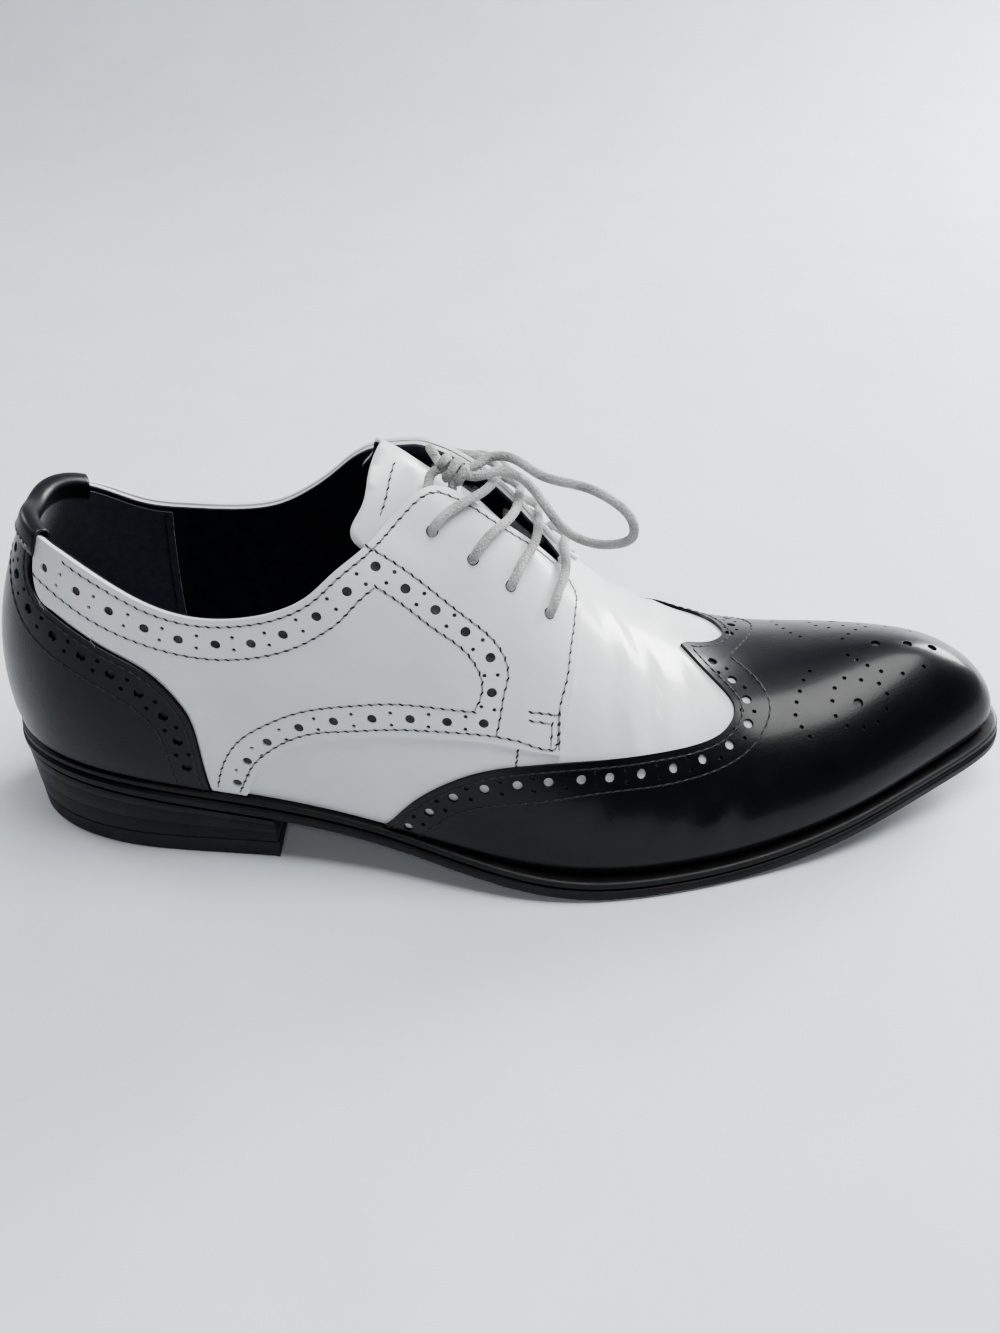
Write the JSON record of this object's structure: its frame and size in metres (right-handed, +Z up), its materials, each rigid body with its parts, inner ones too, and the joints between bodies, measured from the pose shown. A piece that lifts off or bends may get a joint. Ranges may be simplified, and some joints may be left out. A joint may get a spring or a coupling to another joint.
{
  "type": "spectator dress shoe",
  "caption": "Right-foot two-tone derby dress shoe with a black wingtip and heel counter over white leather, open facings, round waxed lace tied in a bow, welted leather sole and stacked heel",
  "frame": {"origin": "Middle of the shoe's footprint box, on the floor plane that the heel and the forefoot stand on, free lace left out", "axes": "+X to the toe, +Y to the inner side of the foot, +Z up"},
  "size_m": [0.3038, 0.113, 0.1179],
  "materials": {
    "white_leather": "semi-gloss",
    "black_leather": "polished",
    "lining_leather": "matte",
    "insole_board": "matte",
    "sole_edge": "satin",
    "heel_rubber": "matte",
    "lace_cord": "waxed"
  },
  "bodies": {
    "root": {"upper": "white_leather", "quarter_outer": "white_leather", "quarter_inner": "white_leather", "wingtip": "black_leather", "counter": "black_leather", "collar_binding": "black_leather", "tongue": "white_leather", "insole": "insole_board", "welt": "sole_edge", "outsole": "sole_edge", "heel_block": "sole_edge", "heel_cap": "heel_rubber", "lace_crossings": "lace_cord", "lace_knot": "lace_cord", "lace_outer_loop": "lace_cord", "lace_inner_end": "lace_cord"}
  },
  "joints": []
}
